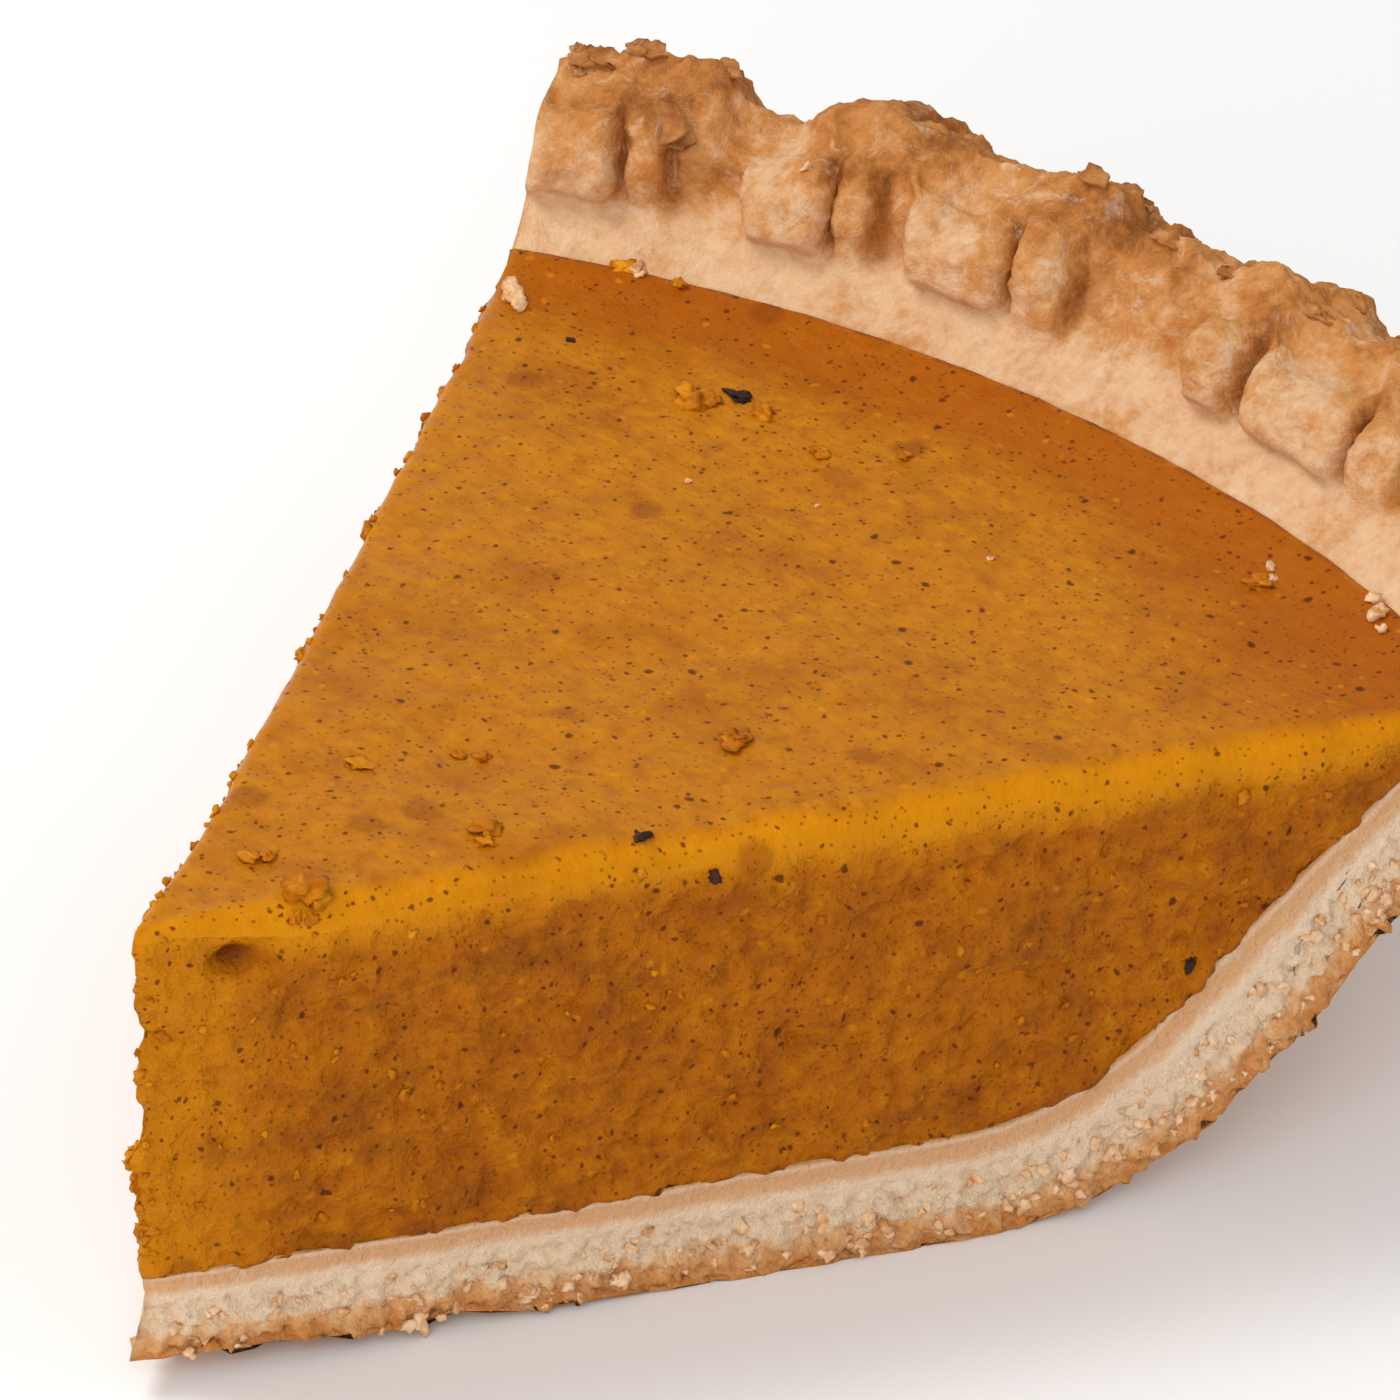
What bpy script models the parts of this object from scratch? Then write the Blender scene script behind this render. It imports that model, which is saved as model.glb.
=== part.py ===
"""A cut slice of pumpkin pie: a thick pastry shell with a finger-crimped rim, and the custard set in it.

Metres, +Z up. The slice stands on the flat underside of its pastry, with its point towards -Y and
its rim towards +Y. The origin is under the middle of the slice's box.

Each piece is drawn as a section through the pie's axis, in radius and height, and spun about that
axis through the angle of the slice. The baked and cut surfaces are then worked in place.
"""

import math

import bmesh
import bpy
from mathutils import Matrix, Vector, noise

# The slice, cut from a pie baked in a 9 inch dish
SLICE_ANGLE = math.radians(54.0)
PIE_AXIS = (0.0003, -0.0598)
RIM_RADIUS = 0.1205
RIM_HEIGHT = 0.0484
RIM_BACK_HEIGHT = 0.0463
FILLING_HEIGHT = 0.0376

# The pastry shell's section, as radius and height
FLOOR_HEIGHT = 0.0091
FLOOR_RADIUS = 0.0710
SHOULDER = (0.0960, 0.0342)
WALL_FOOT = (0.1060, 0.0418)
KNUCKLE_TOP = (0.1082, 0.0460)
CREST_RADIUS = 0.1145
BASE_RADIUS = 0.0740
BASE_CORNER = (0.0860, 0.0086)
DISH_LIP = (0.1140, 0.0412)
LIP_OVERHANG = 0.0055
RIM_BACK_BULGE = 0.0022
RIM_BACK_DROP = 0.0024
TIP_LIFT = 0.0026
TIP_LIFT_RADIUS = 0.0470
INNER_ROWS = (15, 8, 6, 3, 4)
OUTER_ROWS = (15, 4, 9, 2, 3, 3)
CRUST_ROWS_THROUGH = 6
CRUST_STEPS = 80
CORNER_EASE_ROWS = 1.6

# The finger crimps of the rim. A crimp runs from its smooth scoop, over a large and a small knuckle
# of dough with a crease between them, to the deep crease where the next one starts. The places are
# shares of a crimp's width, one for each crimp.
CRIMP_ANGLE = math.radians(8.82)
CRIMP_START = math.radians(28.7)
CRIMP_SKEW = 0.20
SCOOP_ENDS = (0.12, 0.26, 0.10, 0.50, 0.10, 0.30, 0.16)
CREASE_PLACES = (0.56, 0.66, 0.58, 0.77, 0.58, 0.66, 0.60)
LARGE_KNUCKLE = 0.0018
SMALL_KNUCKLE = 0.0007
SCOOP_DEPTH = 0.0016
CREASE_WIDTH = 0.055
CREASE_SHARE = 0.8
FACE_EDGE = 0.0016
FACE_REACH = (0.0018, 0.0058)
CREST_SWELL = 0.0009
CREST_PLACE = 0.60
CREST_FALL = 0.0009
CREST_FALL_ANGLE = math.radians(16.0)
CREST_DEPTH = 0.0030
FLAKE_RISE = 0.0012
FLAKE_LENGTH = 0.0042
FLAKE_REACH = 0.0045
LUMP_RISE = 0.0005
LUMP_LENGTH = 0.0035
BACK_WAVE = 0.0009
BACK_WAVE_LENGTH = 0.006

# The custard
CONTACT_GAP = 0.0003
FILLED_ROWS = 26.1
FILLING_EDGE_THICKNESS = 0.0006
MENISCUS_WIDTH = 0.006
LEFT_CUT_ROUNDING = 0.0010
RIGHT_CUT_ROUNDING = 0.0026
FILLING_ROWS = (15, 8)
FILLING_ROWS_THROUGH = 7
FILLING_STEPS = 34
BLISTER = 0.0003
BLISTER_LENGTH = 0.011

# How uneven the baked and cut surfaces are
CUT_WAVE = 0.0003
CUT_WAVE_LENGTH = 0.010
CUT_WAVE_REACH = 0.006
FINE_WAVE_SHARE = 0.5
FINE_WAVE_LENGTH = 0.0045
POINT_STILL = (0.002, 0.014)
CRAG = 0.0014
CRAG_LENGTH = 0.0055
CRAG_REACH = 0.004
WALL_WAVE = 0.0006
WALL_WAVE_LENGTH = 0.009
LEDGE_WAVE = 0.00035
LEDGE_WAVE_LENGTH = 0.005
POINT_WEAR = 0.0004
POINT_WEAR_LENGTH = 0.004
POINT_NOTCHES = 1.5
POINT_LEAN = (-0.0009, -0.0009)
POINT_LEAN_LENGTH = 0.012
FLAT_WITHIN = math.radians(0.35)

CRUST_COLOUR = (0.62, 0.36, 0.14)
FILLING_COLOUR = (0.58, 0.22, 0.012)


def smoothstep(low, high, value):
    """0 below low, 1 above high, and an eased step between them."""
    share = min(1.0, max(0.0, (value - low) / (high - low)))
    return share * share * (3.0 - 2.0 * share)


def rough(point, length, seed):
    """A smooth random value, mostly from -1 to 1, that changes over the given length."""
    return 1.6 * noise.noise(Vector(point) / length + Vector((seed, 0.37 * seed, -seed)))


def on_line(corners, rows, place):
    """The point of a line of straight legs at a place counted in rows."""
    for start, end, count in zip(corners, corners[1:], rows):
        if place <= count:
            return Vector(start).lerp(Vector(end), place / count)
        place -= count
    return Vector(corners[-1])


def on_curve(corners, rows, place):
    """As on_line, with the corners eased by taking the mean of the line's points near the place."""
    reach = min(CORNER_EASE_ROWS, place, sum(rows) - place)
    near = [on_line(corners, rows, place + reach * step / 4.0) for step in range(-4, 5)]
    return sum(near, Vector((0.0, 0.0))) / len(near)


def inner_line(place):
    """The pastry's inner side: its floor, its wall, the ledge over the custard, the rim's face."""
    corners = (
        (0.0, FLOOR_HEIGHT),
        (FLOOR_RADIUS, FLOOR_HEIGHT),
        SHOULDER,
        WALL_FOOT,
        KNUCKLE_TOP,
        (CREST_RADIUS, RIM_HEIGHT),
    )
    return on_curve(corners, INNER_ROWS, place)


def outer_line(place):
    """The pastry's outer side: its underside, the slope and lip set by the dish, the rim's back."""
    corners = (
        (0.0, 0.0),
        (BASE_RADIUS, 0.0),
        BASE_CORNER,
        DISH_LIP,
        (DISH_LIP[0] + LIP_OVERHANG, DISH_LIP[1]),
        (RIM_RADIUS, RIM_BACK_HEIGHT - RIM_BACK_DROP),
        (RIM_RADIUS - RIM_BACK_BULGE, RIM_BACK_HEIGHT),
    )
    return on_curve(corners, OUTER_ROWS, place)


def filling_bottom(place):
    """The custard's underside, which follows the pastry's inner line at the contact gap."""
    along = place / sum(FILLING_ROWS) * FILLED_ROWS
    point = inner_line(along)
    ahead = inner_line(along + 0.05) - inner_line(max(0.0, along - 0.05))
    normal = Vector((-ahead.y, ahead.x)).normalized()
    return point + CONTACT_GAP * normal


def filling_top(place):
    """The custard's skin, flat to where it climbs a little up the pastry."""
    edge = filling_bottom(sum(FILLING_ROWS))
    edge_height = edge.y + FILLING_EDGE_THICKNESS
    radius = on_line(((0.0, 0.0), (FLOOR_RADIUS, 0.0), (edge.x, 0.0)), FILLING_ROWS, place).x
    climb = smoothstep(edge.x - MENISCUS_WIDTH, edge.x, radius)
    return Vector((radius, FILLING_HEIGHT + climb * (edge_height - FILLING_HEIGHT)))


def spun_section(low_line, high_line, rows_along, rows_through, steps):
    """The closed solid of a section between two lines, spun about the pie's axis.

    Each vertex keeps its place along the lines, and its share of the way through from low to high.
    """
    shape = bmesh.new()
    along = shape.verts.layers.float.new("along")
    through = shape.verts.layers.float.new("through")
    bmesh.ops.create_grid(shape, x_segments=rows_along, y_segments=rows_through, size=0.5)
    for vertex in shape.verts:
        vertex[along] = (vertex.co.x + 0.5) * rows_along
        vertex[through] = vertex.co.y + 0.5
        point = low_line(vertex[along]).lerp(high_line(vertex[along]), vertex[through])
        vertex.co = (0.0, point.x, point.y)
    whole = shape.verts[:] + shape.edges[:] + shape.faces[:]
    bmesh.ops.rotate(shape, verts=shape.verts[:], matrix=Matrix.Rotation(-SLICE_ANGLE / 2, 3, "Z"))
    bmesh.ops.spin(shape, geom=whole, axis=(0.0, 0.0, 1.0), angle=SLICE_ANGLE, steps=steps)
    bmesh.ops.remove_doubles(shape, verts=shape.verts[:], dist=1e-6)
    bmesh.ops.recalc_face_normals(shape, faces=shape.faces[:])
    return shape, along, through


def polar(point):
    """Radius, angle from the slice's middle plane and height of a point."""
    return math.hypot(point.x, point.y), math.atan2(-point.x, point.y), point.z


def cartesian(radius, angle, height):
    """The point at a radius, an angle from the slice's middle plane and a height."""
    return Vector((-radius * math.sin(angle), radius * math.cos(angle), height))


def crimp(angle, radius):
    """How far the rim's face stands proud there, and the swell of its crest from -1 to 1."""
    out = (radius - WALL_FOOT[0]) / (RIM_RADIUS - WALL_FOOT[0])
    place = (CRIMP_START - angle) / CRIMP_ANGLE - CRIMP_SKEW * out
    number = int(min(max(math.floor(place), 0), len(SCOOP_ENDS) - 1))
    share = place - math.floor(place)
    scoop, crease = SCOOP_ENDS[number], CREASE_PLACES[number]
    past_crease = smoothstep(crease - CREASE_WIDTH, crease + CREASE_WIDTH, share)
    knuckle = LARGE_KNUCKLE + (SMALL_KNUCKLE - LARGE_KNUCKLE) * past_crease
    end_crease = smoothstep(1.0 - CREASE_WIDTH, 1.0, share)
    rise = smoothstep(scoop - 2.0 * CREASE_WIDTH, scoop + CREASE_WIDTH, share) * (1.0 - end_crease)
    groove = CREASE_SHARE * math.exp(-(((share - crease) / CREASE_WIDTH) ** 2))
    proud = (knuckle + SCOOP_DEPTH) * rise * (1.0 - groove) - SCOOP_DEPTH
    return proud, math.cos(2.0 * math.pi * (share - CREST_PLACE))


def work_rim(radius, angle, height):
    """The radius and height of a point of the shell once the rim is crimped with the fingers."""
    proud, crest = crimp(angle, radius)
    face = smoothstep(WALL_FOOT[1] - FACE_EDGE / 2, WALL_FOOT[1] + FACE_EDGE / 2, height)
    face *= 1.0 - smoothstep(WALL_FOOT[0] + FACE_REACH[0], WALL_FOOT[0] + FACE_REACH[1], radius)
    top = smoothstep(RIM_BACK_HEIGHT - CREST_DEPTH - 0.001, RIM_BACK_HEIGHT - 0.001, height)
    back = smoothstep(RIM_RADIUS - FLAKE_REACH, RIM_RADIUS, radius)
    spot = (radius, angle * RIM_RADIUS, height)
    flake = FLAKE_RISE * back * max(0.0, rough(spot, FLAKE_LENGTH, 3.0))
    lump = LUMP_RISE * rough(spot, LUMP_LENGTH, 5.0)
    wave = BACK_WAVE * back * rough(spot, BACK_WAVE_LENGTH, 7.0)
    fall = CREST_FALL * min(1.0, angle / CREST_FALL_ANGLE)
    return radius - face * proud + wave, height + top * (fall + CREST_SWELL * crest + lump + flake)


def roughen_wall(radius, angle, height, depth):
    """The radius of a point of the shell with the small waves of rolled dough on its outer slope."""
    spot = (radius, angle * RIM_RADIUS, height)
    slope = smoothstep(0.3 * BASE_CORNER[1], BASE_CORNER[1], height) * smoothstep(0.3, 1.0, depth)
    ledge = smoothstep(FILLING_HEIGHT + 0.001, WALL_FOOT[1], height) * (1.0 - smoothstep(0.0, 0.5, depth))
    radius += WALL_WAVE * slope * rough(spot, WALL_WAVE_LENGTH, 11.0)
    return radius + LEDGE_WAVE * ledge * rough(spot, LEDGE_WAVE_LENGTH, 13.0)


def cut_distance(radius, angle):
    """The distance from a point to the nearer of the two cuts."""
    return radius * math.sin(max(0.0, SLICE_ANGLE / 2 - abs(angle)))


def work_cut(radius, angle, height, depth):
    """The angle and height of a point near a cut, which a knife leaves wavy and the crust ragged."""
    side = math.copysign(1.0, angle)
    distance = cut_distance(radius, angle)
    clear_of_point = smoothstep(*POINT_STILL, radius)
    to_side = smoothstep(0.0, 0.5, abs(angle) / (SLICE_ANGLE / 2))
    wave = rough((radius, height, side), CUT_WAVE_LENGTH, 17.0)
    wave += FINE_WAVE_SHARE * rough((radius, height, side), FINE_WAVE_LENGTH, 19.0)
    wave *= CUT_WAVE * clear_of_point * to_side * (1.0 - smoothstep(0.0, CUT_WAVE_REACH, distance))
    ragged = CRAG * max(0.0, rough((radius, side, 0.0), CRAG_LENGTH, 23.0)) * smoothstep(0.4, 1.0, depth)
    ragged *= clear_of_point * (1.0 - smoothstep(0.0, CRAG_REACH, distance))
    ragged *= 1.0 - smoothstep(FILLING_HEIGHT, WALL_FOOT[1], height)
    return angle - side * wave / max(radius, POINT_STILL[0]), height + ragged


def wear_point(point):
    """A point with the sharp end of the slice worn unevenly, and leaning out towards its top."""
    radius = math.hypot(point.x, point.y)
    uneven = 1.0 + POINT_NOTCHES * rough((0.0, 0.0, point.z), POINT_WEAR_LENGTH, 29.0)
    wear = Vector((0.0, POINT_WEAR * uneven * math.exp(-radius / POINT_WEAR_LENGTH), 0.0))
    lean = Vector((*POINT_LEAN, 0.0)) * (point.z / FILLING_HEIGHT) ** 2
    return point + wear + lean * math.exp(-radius / POINT_LEAN_LENGTH)


def make_crust():
    """The pastry shell, from the underside that stood in the dish to the crimped rim."""
    shape, _, through = spun_section(
        inner_line, outer_line, sum(INNER_ROWS), CRUST_ROWS_THROUGH, CRUST_STEPS
    )
    for vertex in shape.verts:
        radius, angle, height = polar(vertex.co)
        depth = vertex[through]
        lift = TIP_LIFT * max(0.0, 1.0 - radius / TIP_LIFT_RADIUS) ** 1.4 * depth
        radius = roughen_wall(radius, angle, height, depth)
        radius, height = work_rim(radius, angle, height)
        angle, height = work_cut(radius, angle, height, depth)
        vertex.co = wear_point(cartesian(radius, angle, height + lift))
    return shape


def make_filling():
    """The custard, which fills the shell to a flat, faintly blistered skin."""
    shape, along, through = spun_section(
        filling_bottom, filling_top, sum(FILLING_ROWS), FILLING_ROWS_THROUGH, FILLING_STEPS
    )
    for vertex in shape.verts:
        radius, angle, height = polar(vertex.co)
        angle += math.sin(2.0 * math.pi * angle / SLICE_ANGLE) * SLICE_ANGLE / (4.0 * math.pi)
        place = vertex[along]
        thickness = filling_top(place).y - filling_bottom(place).y
        left = smoothstep(-0.2, 0.2, angle / SLICE_ANGLE)
        rounding = RIGHT_CUT_ROUNDING + (LEFT_CUT_ROUNDING - RIGHT_CUT_ROUNDING) * left
        rounding = min(rounding, 0.6 * thickness)
        rounding *= 0.4 + 0.6 * smoothstep(0.002, 0.012, radius)
        short = max(0.0, rounding - cut_distance(radius, angle))
        drop = rounding - math.sqrt(rounding**2 - short**2)
        spot = (radius * math.cos(angle), radius * math.sin(angle), 0.0)
        blister = BLISTER * min(1.0, thickness / MENISCUS_WIDTH) * rough(spot, BLISTER_LENGTH, 31.0)
        height += (blister - drop) * vertex[through]
        angle, height = work_cut(radius, angle, height, 0.0)
        vertex.co = wear_point(cartesian(radius, angle, height))
    return shape


def flatten_floors(shape):
    """The floor and underside as few faces, since both are flat."""
    level = [face for face in shape.faces if abs(face.normal.z) > math.cos(FLAT_WITHIN)]
    edges = {edge for face in level for edge in face.edges}
    inside = [edge for edge in edges if all(face in level for face in edge.link_faces)]
    ends = {vertex for edge in inside for vertex in edge.verts}
    bmesh.ops.dissolve_limit(shape, angle_limit=FLAT_WITHIN, verts=list(ends), edges=inside)


def material(name, colour, roughness):
    """A Principled material of one colour."""
    made = bpy.data.materials.new(name)
    made.use_nodes = True
    shader = made.node_tree.nodes["Principled BSDF"]
    shader.inputs["Base Color"].default_value = (*colour, 1.0)
    shader.inputs["Roughness"].default_value = roughness
    made.diffuse_color = (*colour, 1.0)
    return made


def add_piece(name, shape, collection, finish):
    """The object of a finished shape, standing with the pie's axis at its place."""
    flatten_floors(shape)
    bmesh.ops.triangulate(shape, faces=shape.faces[:])
    mesh = bpy.data.meshes.new(name)
    shape.to_mesh(mesh)
    shape.free()
    mesh.materials.append(finish)
    mesh.shade_smooth()
    mesh.set_sharp_from_angle(angle=math.radians(50.0))
    piece = bpy.data.objects.new(name, mesh)
    piece.location = (*PIE_AXIS, 0.0)
    collection.objects.link(piece)
    return piece


def main():
    for old in list(bpy.data.objects):
        bpy.data.objects.remove(old)
    slice_pieces = bpy.data.collections.new("pumpkin_pie_slice")
    bpy.context.scene.collection.children.link(slice_pieces)
    add_piece("pastry_crust", make_crust(), slice_pieces, material("baked_pastry", CRUST_COLOUR, 0.75))
    add_piece("pumpkin_filling", make_filling(), slice_pieces, material("set_custard", FILLING_COLOUR, 0.35))


main()
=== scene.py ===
# %% [markdown]
# A slice of pumpkin pie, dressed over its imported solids.
# The slice has two parts that a baker would name: the pastry shell and the custard set in it.
# Both solids are already the right size, so this lesson makes a finer copy of each, with the crumb,
# the wrinkled skin and the browning, and lets the copy stand for its solid.

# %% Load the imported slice
import math
import random

import bmesh
import bpy
from mathutils import Matrix, Vector, noise
from mathutils.bvhtree import BVHTree


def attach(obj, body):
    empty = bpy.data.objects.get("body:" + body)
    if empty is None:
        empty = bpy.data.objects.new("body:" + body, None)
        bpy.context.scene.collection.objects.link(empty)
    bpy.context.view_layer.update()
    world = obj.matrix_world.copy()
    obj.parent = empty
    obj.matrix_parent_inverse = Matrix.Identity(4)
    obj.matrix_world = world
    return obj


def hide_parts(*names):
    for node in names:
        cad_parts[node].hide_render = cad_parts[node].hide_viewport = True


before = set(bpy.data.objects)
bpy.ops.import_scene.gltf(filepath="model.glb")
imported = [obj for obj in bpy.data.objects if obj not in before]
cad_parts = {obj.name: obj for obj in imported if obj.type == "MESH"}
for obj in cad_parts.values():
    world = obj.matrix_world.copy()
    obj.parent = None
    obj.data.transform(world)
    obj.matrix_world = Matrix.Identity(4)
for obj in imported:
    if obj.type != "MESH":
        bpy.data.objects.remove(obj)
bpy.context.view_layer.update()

# %% [markdown]
# The camera looks at the slice from above its point, with a long lens. A long lens stands far off and
# keeps the far end of the slice nearly as large as the near end, as in a studio food photograph.
# Its place is given from the pie's axis, where the two cuts meet.

# %% The camera
PIE_AXIS = Vector((0.0003, -0.0598, 0.0))
CAMERA_AZIMUTH = math.radians(38.1)
CAMERA_ELEVATION = math.radians(30.67)
CAMERA_ROLL = math.radians(4.08)
CAMERA_DISTANCE = 0.874
LENS_MM = 297.9

camera_data = bpy.data.cameras.new("studio_camera")
camera_data.lens = LENS_MM
camera_data.sensor_width = 36.0
camera_data.clip_start = 0.05
camera = bpy.data.objects.new("studio_camera", camera_data)
bpy.context.scene.collection.objects.link(camera)
back = Vector(
    (
        math.sin(CAMERA_AZIMUTH) * math.cos(CAMERA_ELEVATION),
        -math.cos(CAMERA_AZIMUTH) * math.cos(CAMERA_ELEVATION),
        math.sin(CAMERA_ELEVATION),
    )
)
right = Vector((math.cos(CAMERA_AZIMUTH), math.sin(CAMERA_AZIMUTH), 0.0))
turn = Matrix((right, back.cross(right), back)).transposed() @ Matrix.Rotation(CAMERA_ROLL, 3, "Z")
aim = PIE_AXIS + Vector((-0.0235, 0.0886, 0.0092))
camera.matrix_world = Matrix.Translation(aim + CAMERA_DISTANCE * back) @ turn.to_4x4()
bpy.context.scene.camera = camera
print("camera at", [round(place, 3) for place in camera.location])

# %% [markdown]
# The studio is a white table under large soft lamps. The key lamp stands high up on the left, so
# that the skin is bright, the knuckles of the rim throw their shade to the right, and the cut that
# faces the camera is a little darker. The pale surroundings fill the shade in.

# %% The table and the lamps
ROOM_STRENGTH = 0.58
TABLE_HALF_WIDTH = 3.0
LAMP_AIM = Vector((0.0, 0.0, 0.02))


def linear(hex_colour):
    """The linear colour of an sRGB hex value."""
    parts = [int(hex_colour[place : place + 2], 16) / 255.0 for place in (1, 3, 5)]
    return tuple(part / 12.92 if part <= 0.04045 else ((part + 0.055) / 1.055) ** 2.4 for part in parts)


def add_node(tree, kind, settings=None, inputs=None):
    """Adds a node, sets its properties, and sets or links its inputs. A ramp takes its stops."""
    node = tree.nodes.new(kind)
    for name, value in (settings or {}).items():
        if name == "stops":
            while len(node.color_ramp.elements) < len(value):
                node.color_ramp.elements.new(0.5)
            for element, (place, colour) in zip(node.color_ramp.elements, value):
                element.position = place
                element.color = (*linear(colour), 1.0)
        else:
            setattr(node, name, value)
    for key, value in (inputs or {}).items():
        if isinstance(value, bpy.types.NodeSocket):
            tree.links.new(value, node.inputs[key])
        else:
            node.inputs[key].default_value = value
    return node


def add_lamp(name, place, size, watts, colour):
    """A square soft lamp that looks at the middle of the slice."""
    lamp = bpy.data.lights.new(name, "AREA")
    lamp.size = size
    lamp.energy = watts
    lamp.color = linear(colour)
    holder = bpy.data.objects.new(name, lamp)
    holder.location = place
    holder.rotation_euler = (Vector(place) - LAMP_AIM).to_track_quat("Z", "Y").to_euler()
    bpy.context.scene.collection.objects.link(holder)


add_lamp("key_lamp", (-0.50, -0.22, 0.80), 0.40, 4.4, "#FFFDF8")
add_lamp("front_lamp", (0.40, -0.80, 0.55), 0.70, 4.2, "#FFFFFF")

studio = bpy.data.worlds.new("studio")
bpy.context.scene.world = studio
studio.use_nodes = True
studio.node_tree.nodes["Background"].inputs["Color"].default_value = (1.0, 1.0, 1.0, 1.0)
studio.node_tree.nodes["Background"].inputs["Strength"].default_value = ROOM_STRENGTH

table_shape = bmesh.new()
bmesh.ops.create_grid(table_shape, x_segments=2, y_segments=2, size=TABLE_HALF_WIDTH)
table_mesh = bpy.data.meshes.new("table")
table_shape.to_mesh(table_mesh)
table_shape.free()
table = bpy.data.objects.new("table", table_mesh)
bpy.context.scene.collection.objects.link(table)
white_table = bpy.data.materials.new("white_matt_table")
white_table.use_nodes = True
table_shader = white_table.node_tree.nodes["Principled BSDF"]
table_shader.inputs["Base Color"].default_value = (0.93, 0.93, 0.93, 1.0)
table_shader.inputs["Roughness"].default_value = 0.9
table_shader.inputs["Specular IOR Level"].default_value = 0.1
table_mesh.materials.append(white_table)
bpy.context.scene.view_settings.view_transform = "Standard"

# %% [markdown]
# Both parts are turned shapes: a section through the pie's axis, swept through the slice's angle.
# The section is drawn between two lines of straight legs with eased corners. It could be a Screw
# modifier on a profile, but spinning a filled grid also gives the two cut faces, already divided into
# small faces that can be roughened as crumb.

# %% Lines and small random values
SLICE_ANGLE = math.radians(54.0)
CORNER_EASE_ROWS = 1.6
NOISE_SEED = 7

# Without a seed, the vector noise in the pastry's cracks would start from the clock.
noise.seed_set(NOISE_SEED)


def smoothstep(low, high, value):
    """0 below low, 1 above high, and an eased step between them."""
    share = min(1.0, max(0.0, (value - low) / (high - low)))
    return share * share * (3.0 - 2.0 * share)


def rough(point, length, seed):
    """A smooth random value, mostly from -1 to 1, that changes over the given length."""
    return 1.6 * noise.noise(Vector(point) / length + Vector((seed, 0.37 * seed, -seed)))


def crumbly(point, length, seed):
    """As rough, with three finer layers added."""
    return 1.3 * noise.fractal(Vector(point) / length + Vector((seed, -seed, 0.37 * seed)), 0.9, 2.1, 4)


def on_line(corners, rows, place):
    """The point of a line of straight legs at a place counted in rows."""
    for start, end, count in zip(corners, corners[1:], rows):
        if place <= count:
            return Vector(start).lerp(Vector(end), place / count)
        place -= count
    return Vector(corners[-1])


def on_curve(corners, rows, place):
    """As on_line, with the corners eased by the mean of the line's points near the place."""
    reach = min(CORNER_EASE_ROWS, place, sum(rows) - place)
    near = [on_line(corners, rows, place + reach * step / 4.0) for step in range(-4, 5)]
    return sum(near, Vector((0.0, 0.0))) / len(near)


def polar(point):
    """Radius, angle from the slice's middle plane and height of a point, from the pie's axis."""
    return math.hypot(point.x, point.y), math.atan2(-point.x, point.y), point.z


def cartesian(radius, angle, height):
    """The point at a radius, an angle from the slice's middle plane and a height."""
    return Vector((-radius * math.sin(angle), radius * math.cos(angle), height))


def cut_distance(radius, angle):
    """The distance from a point to the nearer of the two cuts."""
    return radius * math.sin(max(0.0, SLICE_ANGLE / 2 - abs(angle)))


# %% [markdown]
# A baker rolls the dough, lays it in a dish with sloping sides and folds the rest up at the edge. So
# the section has a flat floor, a wall at the dish's slope, a narrow ledge and a thick rim. The inner
# and the outer line have the same number of rows, which pairs each place inside with one outside. The
# custard was poured in, so its underside is the pastry's inner line.

# %% The lines of the pastry and the custard
RIM_RADIUS = 0.1205
RIM_HEIGHT = 0.0484
RIM_BACK_HEIGHT = 0.0463
FILLING_HEIGHT = 0.0376
FLOOR_HEIGHT = 0.0091
FLOOR_RADIUS = 0.0710
WALL_FOOT = (0.1060, 0.0418)
KNUCKLE_TOP = (0.1082, 0.0460)
CREST_RADIUS = 0.1145
BASE_CORNER = (0.0860, 0.0086)
INNER_ROWS = (15, 8, 6, 3, 4)
OUTER_ROWS = (15, 4, 9, 2, 3, 3)
FILLING_ROWS = (15, 8)
FILLED_ROWS = 26.1


def inner_line(place):
    """The pastry's inner side: its floor, its wall, the ledge over the custard, the rim's face."""
    corners = (
        (0.0, FLOOR_HEIGHT),
        (FLOOR_RADIUS, FLOOR_HEIGHT),
        (0.0960, 0.0342),
        WALL_FOOT,
        KNUCKLE_TOP,
        (CREST_RADIUS, RIM_HEIGHT),
    )
    return on_curve(corners, INNER_ROWS, place)


def outer_line(place):
    """The pastry's outer side: its underside, the slope and lip set by the dish, the rim's back."""
    corners = (
        (0.0, 0.0),
        (0.0740, 0.0),
        BASE_CORNER,
        (0.1140, 0.0412),
        (0.1195, 0.0412),
        (RIM_RADIUS, RIM_BACK_HEIGHT - 0.0024),
        (RIM_RADIUS - 0.0022, RIM_BACK_HEIGHT),
    )
    return on_curve(corners, OUTER_ROWS, place)


def filling_bottom(place):
    """The custard's underside, pressed a hair into the pastry so that no gap shows."""
    along = place / sum(FILLING_ROWS) * FILLED_ROWS
    ahead = inner_line(along + 0.05) - inner_line(max(0.0, along - 0.05))
    return inner_line(along) - 0.0001 * Vector((-ahead.y, ahead.x)).normalized()


def filling_top(place):
    """The custard's skin, flat to where it climbs a little up the pastry."""
    edge = filling_bottom(sum(FILLING_ROWS))
    radius = on_line(((0.0, 0.0), (FLOOR_RADIUS, 0.0), (edge.x, 0.0)), FILLING_ROWS, place).x
    climb = smoothstep(edge.x - 0.006, edge.x, radius)
    return Vector((radius, FILLING_HEIGHT + climb * (edge.y + 0.0005 - FILLING_HEIGHT)))


print("custard meets pastry at", [round(1000 * side, 1) for side in filling_bottom(sum(FILLING_ROWS))], "mm")

# %% [markdown]
# The grid's columns needn't be even. Where the pastry is hidden under the custard they can be wide,
# and on the ledge and rim they are a third of a millimetre. The cut faces are then divided again on
# their own, because crumb needs small faces and the hidden floor doesn't.

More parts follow.
